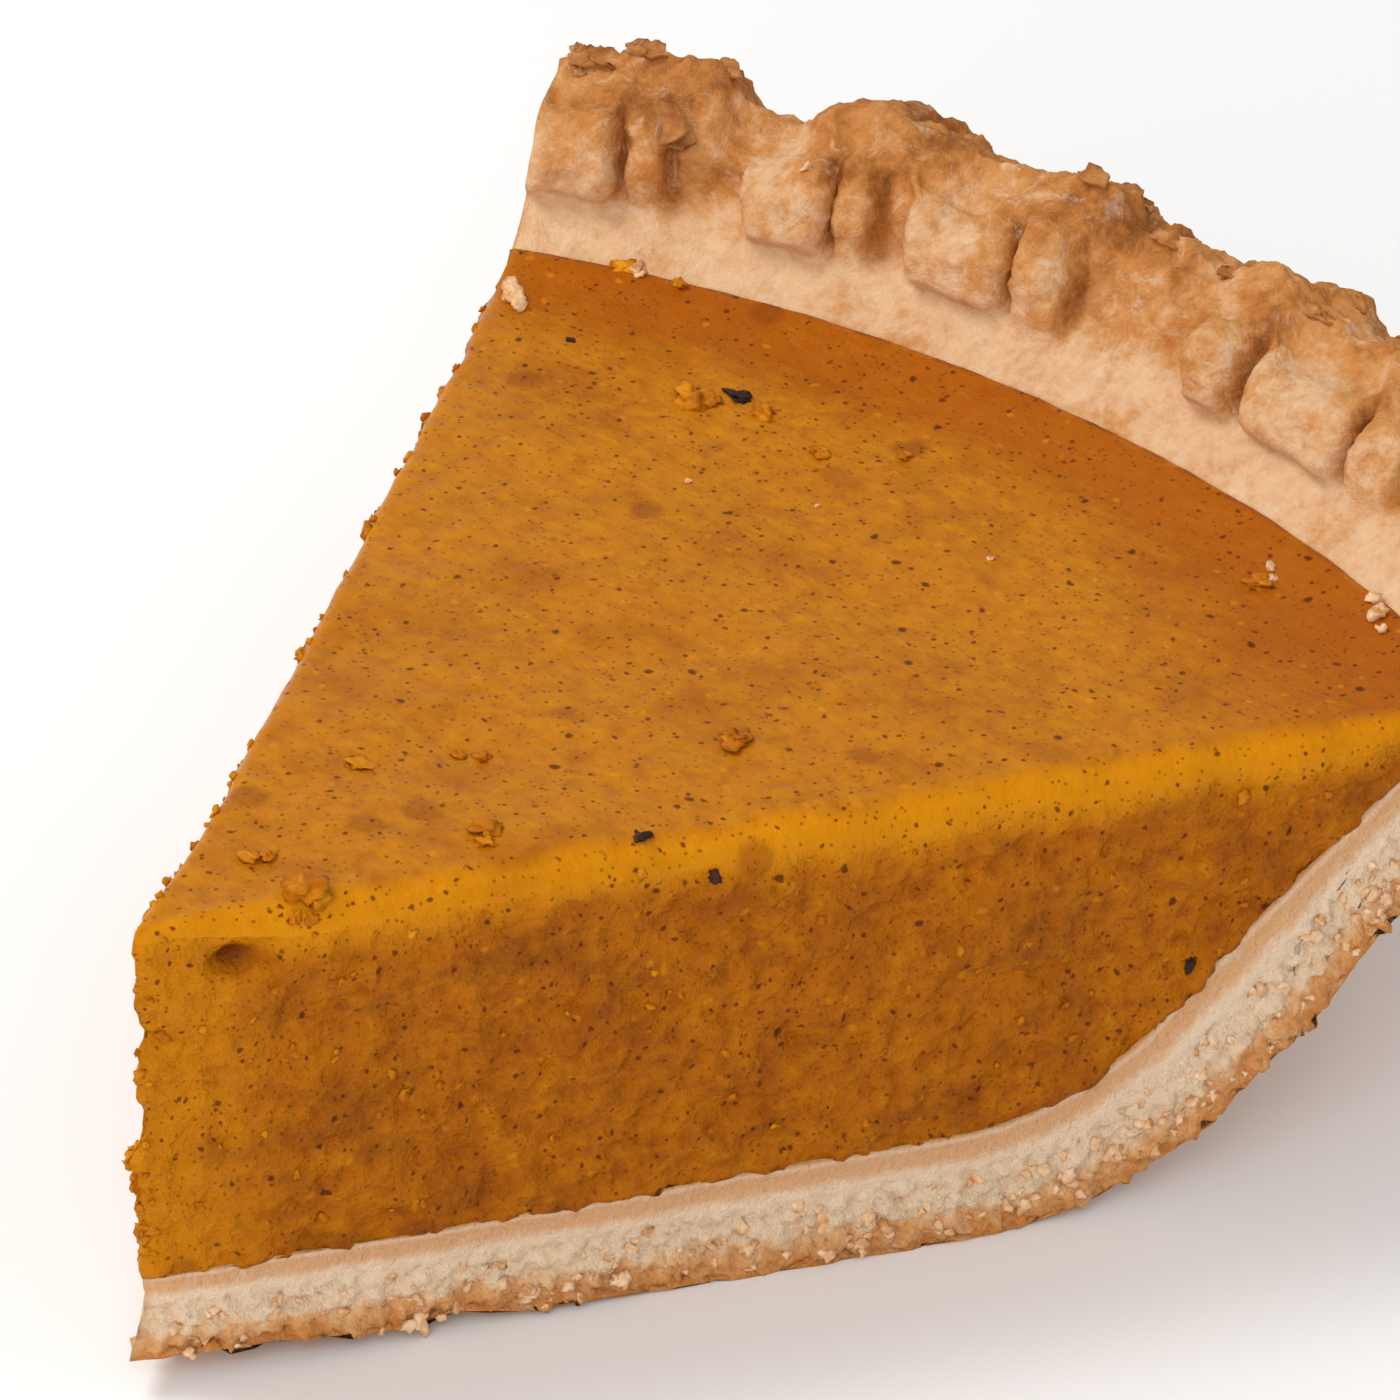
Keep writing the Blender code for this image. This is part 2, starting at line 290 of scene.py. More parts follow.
# %% Spin a section into a wedge
def spun_section(low_line, high_line, places, rows_through, steps, cut_grain):
    """A closed wedge between two lines. Its vertices keep their place along and share through."""
    shape = bmesh.new()
    along = shape.verts.layers.float.new("along")
    through = shape.verts.layers.float.new("through")
    bmesh.ops.create_grid(shape, x_segments=len(places) - 1, y_segments=rows_through, size=0.5)
    for vertex in shape.verts:
        vertex[along] = places[round((vertex.co.x + 0.5) * (len(places) - 1))]
        vertex[through] = vertex.co.y + 0.5
        point = low_line(vertex[along]).lerp(high_line(vertex[along]), vertex[through])
        vertex.co = (0.0, point.x, point.y)
    whole = shape.verts[:] + shape.edges[:] + shape.faces[:]
    bmesh.ops.rotate(shape, verts=shape.verts[:], matrix=Matrix.Rotation(-SLICE_ANGLE / 2, 3, "Z"))
    bmesh.ops.spin(shape, geom=whole, axis=(0.0, 0.0, 1.0), angle=SLICE_ANGLE, steps=steps)
    bmesh.ops.remove_doubles(shape, verts=shape.verts[:], dist=1e-6)
    bmesh.ops.recalc_face_normals(shape, faces=shape.faces[:])
    divide_cuts(shape, through, cut_grain)
    return shape, along, through


def on_cut(vertex):
    """Whether a vertex of a fresh wedge lies on one of its cuts, away from the axis."""
    radius, angle, _ = polar(vertex.co)
    return radius > 1e-5 and abs(abs(angle) - SLICE_ANGLE / 2) < 1e-4


def divide_cuts(shape, through, cut_grain):
    """Divides the edges that run along the cuts into pieces of about the given length."""
    groups = {}
    for edge in shape.edges:
        start, end = edge.verts
        if on_cut(start) and on_cut(end) and abs(start[through] - end[through]) < 1e-6:
            pieces = round(edge.calc_length() / cut_grain)
            if pieces > 1 and start.co.x * end.co.x > 0.0:
                groups.setdefault(pieces, []).append(edge)
    for pieces, edges in sorted(groups.items()):
        bmesh.ops.subdivide_edges(shape, edges=edges, cuts=pieces - 1, use_grid_fill=True)


def steps_between(*stretches):
    """Places from start to end of each stretch, a step apart."""
    places = [stretches[0][0]]
    for start, end, step in stretches:
        count = round((end - start) / step)
        places += [start + (end - start) * number / count for number in range(1, count + 1)]
    return places


# %% [markdown]
# The rim was pinched with the fingers. Each pinch leaves a smooth scoop, then a large and a small
# knuckle of dough with a crease between them, and a deep crease where the next pinch starts. The
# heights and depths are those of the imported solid, and the creases lie within 4 mm of its own. The
# crest swells once a pinch, and it dips where the dough was pulled thin.

# %% Crimp the rim
SWELL_ANGLE = math.radians(8.82)
SWELL_START = math.radians(28.7)
SWELL_SKEW = 0.20
CRIMP_ANGLE = math.radians(9.1)
CRIMP_START = math.radians(30.16)
CRIMP_SKEW = -0.35
SCOOP_ENDS = (0.23, 0.40, 0.20, 0.72, 0.08, 0.40, 0.26)
CREASE_PLACES = (0.78, 0.79, 0.69, 0.97, 0.68, 0.75, 0.70)
LARGE_KNUCKLE = 0.0018
SMALL_KNUCKLE = 0.0007
SCOOP_DEPTH = 0.0016
CREASE_WIDTH = 0.055
GROOVE_WIDTH = 0.032
CREST_DIPS = ((20.4, 19.3, 17.6, 14.8, 1.8), (3.9, 3.0, 2.2, 0.9, 1.3), (-0.6, -1.6, -2.6, -4.4, 1.0))


def crest_dip(angle):
    """How far the rim's crest sinks at an angle, where the dough was pulled thin or broke off."""
    turned = math.degrees(angle)
    dips = [
        deep * smoothstep(end, late, turned) * (1.0 - smoothstep(early, start, turned))
        for start, early, late, end, deep in CREST_DIPS
    ]
    return 0.001 * sum(dips)


def crimp(angle, radius):
    """How far the rim's face stands proud, its swell from -1 to 1, and how deep in a crease it is."""
    out = (radius - WALL_FOOT[0]) / (RIM_RADIUS - WALL_FOOT[0])
    place = (CRIMP_START - angle) / CRIMP_ANGLE - CRIMP_SKEW * out
    number = int(min(max(math.floor(place), 0), len(SCOOP_ENDS) - 1))
    share = place - math.floor(place)
    scoop, crease = SCOOP_ENDS[number], CREASE_PLACES[number]
    past_crease = smoothstep(crease - CREASE_WIDTH, crease + CREASE_WIDTH, share)
    knuckle = LARGE_KNUCKLE + (SMALL_KNUCKLE - LARGE_KNUCKLE) * past_crease
    end_crease = smoothstep(1.0 - CREASE_WIDTH, 1.0, share)
    rise = smoothstep(scoop - 2.0 * CREASE_WIDTH, scoop + CREASE_WIDTH, share) * (1.0 - end_crease)
    groove = 0.85 * math.exp(-(((share - crease) / GROOVE_WIDTH) ** 2))
    proud = (knuckle + SCOOP_DEPTH) * rise * (1.0 - groove) - SCOOP_DEPTH
    last = math.exp(-((min(share, 1.0 - share) / GROOVE_WIDTH) ** 2))
    swell = math.cos(2.0 * math.pi * ((SWELL_START - angle) / SWELL_ANGLE - SWELL_SKEW * out - 0.60))
    return proud, swell, max(0.7 * groove, last)


def work_rim(radius, angle, height):
    """The radius and height of a point of the shell once the rim is crimped, and its crease."""
    proud, crest, crease = crimp(angle, radius)
    face = smoothstep(WALL_FOOT[1] - 0.0008, WALL_FOOT[1] + 0.0008, height)
    face *= 1.0 - smoothstep(WALL_FOOT[0] + 0.0018, WALL_FOOT[0] + 0.0058, radius)
    top = smoothstep(RIM_BACK_HEIGHT - 0.0040, RIM_BACK_HEIGHT - 0.001, height)
    edge = smoothstep(RIM_RADIUS - 0.0045, RIM_RADIUS, radius)
    spot = (radius, angle * RIM_RADIUS, height)
    flake = 0.0012 * edge * max(0.0, rough(spot, 0.0042, 3.0))
    lump = 0.0005 * rough(spot, 0.0035, 5.0)
    wave = 0.0009 * edge * rough(spot, 0.006, 7.0)
    fall = 0.0009 * min(1.0, angle / math.radians(16.0))
    dip = crest_dip(angle + 0.012 * rough(spot, 0.004, 9.0))
    height += top * (fall + 0.0009 * crest + lump + flake - dip)
    return radius - face * proud + wave, height, face * crease


# %% [markdown]
# A knife pulled through soft custard and brittle pastry leaves neither cut flat. The same gentle wave
# runs through both parts, the pastry's lower edge is ragged, and the thin point is worn and leans out.

# %% Work the cuts and the point
def roughen_wall(radius, angle, height, depth):
    """The radius of a point of the shell with the small waves of rolled dough."""
    spot = (radius, angle * RIM_RADIUS, height)
    slope = smoothstep(0.3 * BASE_CORNER[1], BASE_CORNER[1], height) * smoothstep(0.3, 1.0, depth)
    ledge = smoothstep(FILLING_HEIGHT + 0.001, WALL_FOOT[1], height) * (1.0 - smoothstep(0.0, 0.5, depth))
    return radius + 0.0006 * slope * rough(spot, 0.009, 11.0) + 0.00035 * ledge * rough(spot, 0.005, 13.0)


def work_cut(radius, angle, height, depth):
    """The angle and height of a point near a cut, which a knife leaves wavy and the crust ragged."""
    side = math.copysign(1.0, angle)
    distance = cut_distance(radius, angle)
    clear_of_point = smoothstep(0.002, 0.014, radius)
    wave = rough((radius, height, side), 0.010, 17.0) + 0.5 * rough((radius, height, side), 0.0045, 19.0)
    wave *= 0.0003 * clear_of_point * smoothstep(0.0, 0.5, abs(angle) / (SLICE_ANGLE / 2))
    wave *= 1.0 - smoothstep(0.0, 0.006, distance)
    ragged = 0.0009 * max(0.0, rough((radius, side, 0.0), 0.0055, 23.0)) * smoothstep(0.4, 1.0, depth)
    ragged *= clear_of_point * (1.0 - smoothstep(0.0, 0.004, distance))
    ragged *= 1.0 - smoothstep(FILLING_HEIGHT, WALL_FOOT[1], height)
    return angle - side * wave / max(radius, 0.002), height + ragged


def wear_point(point):
    """A point with the sharp end of the slice worn unevenly, and leaning out towards its top."""
    radius = math.hypot(point.x, point.y)
    uneven = 1.3 + 2.4 * rough((0.0, 0.0, point.z), 0.0048, 29.0)
    uneven += 1.1 * rough((0.0, 0.0, point.z), 0.0013, 30.0)
    wear = Vector((0.0, 0.0004 * uneven * math.exp(-radius / 0.004), 0.0))
    lean = Vector((-0.0009, -0.0009, 0.0)) * (point.z / FILLING_HEIGHT) ** 2
    return point + wear + lean * math.exp(-radius / 0.012)


def keep_inside(point):
    """A point held above the table, and eased back where it goes past the rim's outer edge."""
    radius = math.hypot(point.x, point.y)
    share = 1.0 - 0.85 * max(0.0, radius - RIM_RADIUS + 0.0003) / max(radius, 0.001)
    return Vector((share * point.x, share * point.y, max(0.0, point.z)))


# %% [markdown]
# The fine relief of the pastry is moved along the surface's own direction, after the large shape is
# done. Each zone has its own grain: short crumb and open cracks where it was cut, close to nothing in
# the damp band beside the custard, small lumps on the rim, and a floury skin on the ledge. The same
# step notes how browned each place is, because an oven browns what stands up and what is thin, and
# it adds painted shade to that value, which darkens the creases of the rim.

# %% Make the fine pastry
CRUST_PLACES = steps_between(
    (0.0, 1.0, 0.25),
    (1.0, 13.0, 1.0),
    (13.0, 17.0, 0.5),
    (17.0, 23.0, 0.5),
    (23.0, 29.0, 0.25),
    (29.0, 32.0, 0.15),
    (32.0, 36.0, 0.2),
)
CRUST_ROWS_THROUGH = 32
CRUST_STEPS = 270
CRUMB_GRAIN = 0.00030
POINT_LIFT = 0.0026
LIFT_RADIUS = 0.0470


def crust_relief(point, cut, depth, height, radius, proud):
    """How far a place on the pastry moves out along its normal."""
    if cut:
        dry = smoothstep(FILLING_HEIGHT + 0.002, WALL_FOOT[1] + 0.001, height)
        loose = max(smoothstep(0.22, 0.5, depth), dry * smoothstep(0.0, 0.12, depth))
        cells = noise.voronoi(point / 0.0017 + 0.25 * noise.noise_vector(point / 0.0012))[0]
        crack = 1.0 - smoothstep(0.0, 0.35, cells[1] - cells[0])
        lumps = 0.00052 * crumbly(point, 0.0012, 37.0) - 0.00012 - 0.00030 * crack
        return loose * lumps + 0.00006 * rough(point, 0.0015, 43.0)
    rim = smoothstep(WALL_FOOT[1] - 0.001, WALL_FOOT[1] + 0.002, height)
    outside = smoothstep(0.5, 1.0, depth) * (1.0 - rim)
    lumps = 0.00034 * crumbly(point, 0.0030, 47.0) + 0.00020 * crumbly(point, 0.0010, 53.0)
    layered = (radius, 0.22 * math.atan2(-point.x, point.y) * radius, height)
    lumps += 0.00024 * rough(layered, 0.0010, 63.0) * smoothstep(0.1085, 0.1130, radius)
    torn = smoothstep(RIM_RADIUS - 0.0052, RIM_RADIUS - 0.0028, radius) * rim
    lumps += 0.0007 * torn * max(0.0, rough(point, 0.0016, 55.0)) + 0.0005 * torn * rough(point, 0.0030, 57.0)
    knuckle = smoothstep(-0.0008, 0.0010, proud)
    pillow = math.sin(math.pi * min(1.0, max(0.0, (height - 0.0414) / 0.0052))) * (radius < 0.1110)
    valley = math.exp(-(((radius - 0.1106) / 0.0013) ** 2)) * (depth < 0.5)
    lumps += knuckle * (0.0007 * pillow - 0.0007 * valley)
    skin = 0.00010 * crumbly(point, 0.0022, 59.0) + 0.00022 * rough(point, 0.0048, 60.0) * (radius > 0.1000)
    return rim * lumps + (1.0 - rim) * skin + 0.00012 * outside * crumbly(point, 0.0012, 61.0)


def crust_toast_and_crease_shade(point, depth, height, radius, crease, proud):
    """How browned a place is, from 0 where it is pale dough to 1 where it is dark, with painted shade added
    in the rim's creases.
    """
    rim = smoothstep(WALL_FOOT[1] - 0.0012, WALL_FOOT[1] + 0.0022, height)
    crest = smoothstep(RIM_BACK_HEIGHT - 0.001, RIM_HEIGHT + 0.0005, height)
    back_edge = smoothstep(0.1135, RIM_RADIUS - 0.001, radius)
    outside = smoothstep(0.5, 1.0, depth) * (1.0 - rim)
    far_end = smoothstep(math.radians(18.0), math.radians(25.0), math.atan2(-point.x, point.y))
    toast = 0.08 + rim * (0.48 + 0.12 * crest + 0.28 * back_edge + 0.12 * far_end) + 0.42 * outside
    toast += rim * 0.16 * rough(point, 0.005, 67.0) + 0.05 * rough(point, 0.002, 71.0)
    toast += (1.0 - rim) * 0.26 * max(0.0, rough(point, 0.007, 69.0))
    streak = rough((radius * math.atan2(-point.x, point.y), 0.0, 0.15 * height), 0.0012, 74.0)
    toast += rim * 0.13 * streak * (1.0 - smoothstep(-0.0014, 0.0002, proud))
    toast -= rim * 0.31 * smoothstep(0.0, 0.0014, proud) * (1.0 - crest)
    # The crease term is painted shade: the rim's creases are darkened as if they were more browned.
    return min(1.0, max(0.0, toast + 0.45 * crease))


def make_crust():
    """The fine copy of the pastry shell, with its browning and painted crease shade kept at each vertex."""
    shape, _, through = spun_section(
        inner_line, outer_line, CRUST_PLACES, CRUST_ROWS_THROUGH, CRUST_STEPS, CRUMB_GRAIN
    )
    toast_and_crease_shade_layer = shape.verts.layers.float.new("toast")
    crumb_layer = shape.verts.layers.float.new("crumb")
    kept = []
    for vertex in shape.verts:
        cut = on_cut(vertex)
        radius, angle, height = polar(vertex.co)
        depth = vertex[through]
        lift = POINT_LIFT * max(0.0, 1.0 - radius / LIFT_RADIUS) ** 1.4 * depth
        radius = roughen_wall(radius, angle, height, depth)
        proud = crimp(angle, radius)[0]
        radius, height, crease = work_rim(radius, angle, height)
        angle, height = work_cut(radius, angle, height, depth)
        vertex.co = wear_point(cartesian(radius, angle, height + lift))
        above = smoothstep(FILLING_HEIGHT + 0.0016, WALL_FOOT[1] + 0.001, height)
        baked = above * (1.0 - smoothstep(0.04, 0.32, depth))
        vertex[crumb_layer] = 1.0 - 0.8 * baked if cut else 0.0
        kept.append((cut, depth, height, radius, crease, proud))
    shape.normal_update()
    for vertex, (cut, depth, height, radius, crease, proud) in zip(shape.verts, kept):
        point = vertex.co.copy()
        relief = crust_relief(point, cut, depth, height, radius, proud)
        vertex.co = keep_inside(point + vertex.normal * relief)
        vertex[toast_and_crease_shade_layer] = crust_toast_and_crease_shade(point, depth, height, radius, crease, proud)
    return shape


def add_piece(name, shape, node=None):
    """The object of a finished shape, moved to the pie's axis, riding with the slice."""
    bmesh.ops.translate(shape, verts=shape.verts[:], vec=PIE_AXIS)
    mesh = bpy.data.meshes.new(name)
    shape.to_mesh(mesh)
    shape.free()
    mesh.shade_smooth()
    piece = bpy.data.objects.new(name, mesh)
    bpy.context.scene.collection.objects.link(piece)
    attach(piece, "root")
    if node:
        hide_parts(node)
    print(name, "has", sum(len(face.vertices) - 2 for face in mesh.polygons), "triangles")
    return piece


pastry = add_piece("fine_pastry", make_crust(), "pastry_crust")

# %% [markdown]
# The custard's skin is nearly flat, with a few sunken blisters. Its cut edge is rounded, more on the
# side that the knife left last. The cut face has soft lumps, drag marks and small open bubbles. The
# wedge is spun like the pastry, and the rounding lowers the skin near each cut by a quarter circle.

# %% Make the fine custard
FILLING_PLACES = steps_between((0.0, 23.0, 0.17))
FILLING_ROWS_THROUGH = 62
FILLING_STEPS = 190
CUSTARD_GRAIN = 0.00045
CUT_ROUNDING = 0.0026
DIMPLES = ((27.9, 10.8, 1.6, 0.35), (33.7, 2.5, 1.5, 0.45), (38.8, -3.4, 0.9, 0.3), (41.2, -5.7, 1.1, 0.3))
CAVITY = (0.0071, 0.0340)


def cavity(point, radius, height):
    """How deep a place is in the bubble that the knife opened near the point, from 0 to 1."""
    wide, high = (radius - CAVITY[0]) / 0.0016, (height - CAVITY[1]) / 0.0009
    return math.exp(-(wide**2) - high**2) if point.x > 0.0 else 0.0


def custard_relief(point, cut, radius, height):
    """How far a place on the custard moves out along its normal."""
    if cut:
        cells = noise.voronoi(point / 0.0030 + Vector((3.0, 8.0, 1.0)))[0]
        bubble = 1.0 - smoothstep(0.05, 0.17, cells[0])
        drag = rough((radius * 3.0, height, 0.0), 0.004, 73.0)
        hollow = cavity(point, radius, height)
        soft = 0.00042 * crumbly(point, 0.0034, 79.0) + 0.00020 * crumbly(point, 0.0011, 83.0)
        return soft + 0.00012 * drag - 0.00035 * bubble - 0.0020 * hollow
    wrinkle = rough((0.35 * point.x + 0.3 * point.y, point.y - 0.8 * point.x, 0.0), 0.0009, 89.0)
    sunk = 0.0
    for far, turned, wide, deep in DIMPLES:
        middle = cartesian(far / 1000.0, math.radians(turned), point.z)
        sunk += 0.001 * deep * math.exp(-(((point - middle).length / (0.0005 * wide)) ** 2))
    return 0.00007 * crumbly(point, 0.0035, 97.0) + 0.00001 * wrinkle - sunk


def make_filling():
    """The fine copy of the custard, with its skin, painted edge glow, band and painted bubble shade kept at
    each vertex.
    """
    shape, along, through = spun_section(
        filling_bottom, filling_top, FILLING_PLACES, FILLING_ROWS_THROUGH, FILLING_STEPS, CUSTARD_GRAIN
    )
    edge_glow_layer = shape.verts.layers.float.new("edge")
    skin_layer = shape.verts.layers.float.new("skin")
    rim_layer = shape.verts.layers.float.new("rim_band")
    hollow_shade_layer = shape.verts.layers.float.new("hollow")
    kept = []
    contact = filling_bottom(sum(FILLING_ROWS)).x
    for vertex in shape.verts:
        cut = on_cut(vertex)
        radius, angle, height = polar(vertex.co)
        angle += math.sin(2.0 * math.pi * angle / SLICE_ANGLE) * SLICE_ANGLE / (4.0 * math.pi)
        place = vertex[along]
        thickness = filling_top(place).y - filling_bottom(place).y
        left = smoothstep(-0.2, 0.2, angle / SLICE_ANGLE)
        rounding = min(CUT_ROUNDING - 0.0016 * left, 0.6 * thickness)
        rounding *= 0.4 + 0.6 * smoothstep(0.002, 0.012, radius)
        distance = cut_distance(radius, angle)
        short = max(0.0, rounding - distance)
        drop = rounding - math.sqrt(rounding**2 - short**2)
        spot = (radius * math.cos(angle), radius * math.sin(angle), 0.0)
        blister = 0.0003 * min(1.0, thickness / 0.006) * rough(spot, 0.011, 31.0)
        below = (1.0 - vertex[through]) * thickness
        height += (blister - drop) * vertex[through]
        angle, height = work_cut(radius, angle, height, 0.0)
        vertex.co = wear_point(cartesian(radius, angle, height))
        # The edge value is a painted glow: the thin rounded cut edges and the point are made a brighter
        # yellow, as if light shone through them.
        reach = max(0.0012, 0.0026 + 0.0016 * rough((radius, height, 0.0), 0.005, 101.0))
        bright = 1.0 - smoothstep(-0.0008, reach, below + 1.3 * max(0.0, distance - 0.3 * rounding))
        near_point = (1.0 - smoothstep(0.003, 0.013, radius)) * (1.0 - smoothstep(0.0, 0.002, distance))
        vertex[edge_glow_layer] = max(bright * (1.0 - 0.7 * left), 0.6 * near_point)
        vertex[skin_layer] = 1.0 - smoothstep(0.0, 0.0015, below) if not cut else 0.0
        band = 0.013 + 0.013 * smoothstep(0.05, 0.45, -angle / SLICE_ANGLE)
        vertex[rim_layer] = smoothstep(contact - band, contact - 0.004, radius) * vertex[skin_layer]
        # The hollow value is painted shade: the inside of the opened bubble is darkened.
        vertex[hollow_shade_layer] = cavity(vertex.co, radius, height) if cut else 0.0
        kept.append((cut, radius, height))
    shape.normal_update()
    for vertex, (cut, radius, height) in zip(shape.verts, kept):
        point = vertex.co.copy()
        vertex.co = point + vertex.normal * custard_relief(point, cut, radius, height)
    return shape


custard = add_piece("fine_custard", make_filling(), "pumpkin_filling")

# %% [markdown]
# A material here is a chain of small steps: a pattern, a range, a mix. One short helper for each step
# keeps the chain readable. Each pattern's scale is one over the size of its marks in metres, so the
# grain stays true to the slice's real size.

# %% Helpers for the materials
def new_material(name):
    """A new material, its node tree, its main shader and the object's own coordinates."""
    made = bpy.data.materials.new(name)
    made.use_nodes = True
    tree = made.node_tree
    place = add_node(tree, "ShaderNodeTexCoord").outputs["Object"]
    return made, tree, tree.nodes["Principled BSDF"], place


def attribute(tree, name):
    """The value that the mesh keeps under a name."""
    return add_node(tree, "ShaderNodeAttribute", {"attribute_name": name}).outputs["Fac"]


def maths(tree, operation, *values):
    """The result of a sum on numbers or sockets."""
    return add_node(tree, "ShaderNodeMath", {"operation": operation}, dict(enumerate(values))).outputs[0]


def cloudy(tree, place, size, inputs):
    """A soft random pattern with marks of the given size."""
    inputs = {"Vector": place, "Scale": 1 / size, **inputs}
    return add_node(tree, "ShaderNodeTexNoise", {}, inputs).outputs["Fac"]


def spread(tree, value, low, high, least=0.0, most=1.0):
    """A value stretched from the range low to high into the range least to most."""
    inputs = {"Value": value, "From Min": low, "From Max": high, "To Min": least, "To Max": most}
    return add_node(tree, "ShaderNodeMapRange", {}, inputs).outputs[0]


def ramp(tree, stops, share):
    """The colour at a share of the way along a row of stops."""
    return add_node(tree, "ShaderNodeValToRGB", {"stops": stops}, {"Fac": share}).outputs[0]


def mixed(tree, share, first, second):
    """The first colour where share is 0, and the second where it is 1."""
    inputs = {0: share, 6: first, 7: second}
    return add_node(tree, "ShaderNodeMix", {"data_type": "RGBA"}, inputs).outputs[2]


def tinted(tree, below, share, colour, most):
    """The colour below with another laid over it where share says, and never more than most."""
    return mixed(tree, maths(tree, "MULTIPLY", share, most), below, (*linear(colour), 1.0))


def bumped(tree, height, strength, distance, below=None):
    """The direction of a surface raised by a pattern, over the relief below if there is one."""
    inputs = {"Height": height, "Strength": strength, "Distance": distance}
    if below is not None:
        inputs["Normal"] = below
    return add_node(tree, "ShaderNodeBump", {}, inputs).outputs[0]


# %% [markdown]
# Baked shortcrust pastry is flour, fat and a little water. It has no gloss, its pale parts let a
# little light in, and it browns from cream through gold to nut brown. Where it was cut, the band that
# touched the custard is damp, grey and smoother, the middle is off-white crumb, and the outside that
# lay on the hot dish is golden. The colour follows the browning kept in the mesh, which also holds
# painted shade in the rim's creases.

# %% The pastry's material
def shortcrust():
    """Baked shortcrust: matt, faintly translucent, browned by the oven and floury in patches."""
    made, tree, shader, place = new_material("baked_shortcrust")
    freckle = cloudy(tree, place, 0.0012, {"Detail": 5.0, "Roughness": 0.65})
    mottle = cloudy(tree, place, 0.005, {"Detail": 3.0})
    speckled = spread(tree, freckle, 0.3, 0.7, -0.22, 0.22)
    patchy = spread(tree, mottle, 0.3, 0.7, -0.08, 0.08)
    # The stored browning also holds painted shade, which darkens the rim's creases.
    toast = maths(tree, "ADD", attribute(tree, "toast"), speckled)
    toast = maths(tree, "ADD", toast, patchy)
    baked_stops = [(0.0, "#E4BA8E"), (0.2, "#DCAC80"), (0.42, "#D09256"), (0.66, "#C27C3A"), (1.0, "#96561E")]
    baked = ramp(tree, baked_stops, toast)
    through = attribute(tree, "through")
    stray = maths(tree, "MULTIPLY", speckled, through)
    depth = maths(tree, "MULTIPLY_ADD", stray, 0.6, through)
    cut_stops = [
        (0.0, "#D69E62"),
        (0.04, "#F4C8A6"),
        (0.08, "#E6AE7C"),
        (0.19, "#ECB482"),
        (0.28, "#FFDFBE"),
        (0.66, "#FFDDB8"),
        (0.78, "#F4B678"),
        (1.0, "#DA8C44"),
    ]
    colour = mixed(tree, attribute(tree, "crumb"), baked, ramp(tree, cut_stops, depth))
    flour = cloudy(tree, place, 0.0034, {"Detail": 6.0, "Roughness": 0.75, "Distortion": 1.2})
    dusty = tinted(tree, colour, spread(tree, flour, 0.54, 0.66), "#EED2B4", 0.38)
    tree.links.new(dusty, shader.inputs["Base Color"])
    fine = cloudy(tree, place, 0.0006, {"Detail": 4.0, "Roughness": 0.7})
    rugged = spread(tree, attribute(tree, "crumb"), 0.0, 1.0, 0.6, 0.95)
    tree.links.new(bumped(tree, fine, rugged, 0.0008), shader.inputs["Normal"])
    shader.inputs["Roughness"].default_value = 0.72
    shader.inputs["IOR"].default_value = 1.45
    shader.inputs["Specular IOR Level"].default_value = 0.3
    shader.inputs["Subsurface Weight"].default_value = 0.12
    shader.inputs["Subsurface Radius"].default_value = (0.0016, 0.0009, 0.0005)
    shader.inputs["Subsurface Scale"].default_value = 1.0
    return made


pastry.data.materials.append(shortcrust())
print("pastry surface", pastry.data.materials[0].name)

# %% [markdown]
# Pumpkin custard is a smooth gel of egg, cream, sugar and pumpkin, full of ground spice. The oven
# dries its top to a fine, wrinkled skin with a satin gloss. The cut face is wetter and shows more
# small glints. Its orange is deep and clean. The thin rounded edges and the point get a painted glow,
# a brighter yellow that stands in for light shining through them, and the open bubble near the point
# gets painted shade. The spice shows as dark specks: a Voronoi pattern marks a point in each cell,
# and only the cells whose point lies near the surface show, so the specks are as random as
# stirred-in spice.

# %% The custard's material
SPECKS = (
    (0.0022, 0.00040, 0.6, "#D98C06", 0.4),
    (0.0085, 0.0019, 0.6, "#7A3206", 0.45),
    (0.0034, 0.00044, 0.75, "#3E1404", 0.8),
    (0.0012, 0.00025, 0.95, "#54200A", 0.8),
)
FINEST_SPECKS = (0.0007, 0.00017, 0.8)


def specks(tree, place, cell, size, chosen):
    """Marks from 0 to 1: a spot of the given size in some cells of the given width."""
    cells = add_node(tree, "ShaderNodeTexVoronoi", {}, {"Vector": place, "Scale": 1.0 / cell})
    inputs = {"Value": cells.outputs["Distance"], "From Min": 0.5 * size / cell, "From Max": size / cell}
    inputs.update({"To Min": 1.0, "To Max": 0.0})
    spot = add_node(tree, "ShaderNodeMapRange", {"interpolation_type": "SMOOTHSTEP"}, inputs).outputs[0]
    pick = add_node(tree, "ShaderNodeSeparateColor", {}, {0: cells.outputs["Color"]}).outputs[0]
    return maths(tree, "MULTIPLY", spot, maths(tree, "LESS_THAN", pick, chosen))


def turned_place(tree, place, turn, stretch):
    """Coordinates turned and stretched, so that a pattern's marks are drawn out one way."""
    inputs = {"Vector": place, "Rotation": turn, "Scale": stretch}
    return add_node(tree, "ShaderNodeMapping", {}, inputs).outputs[0]


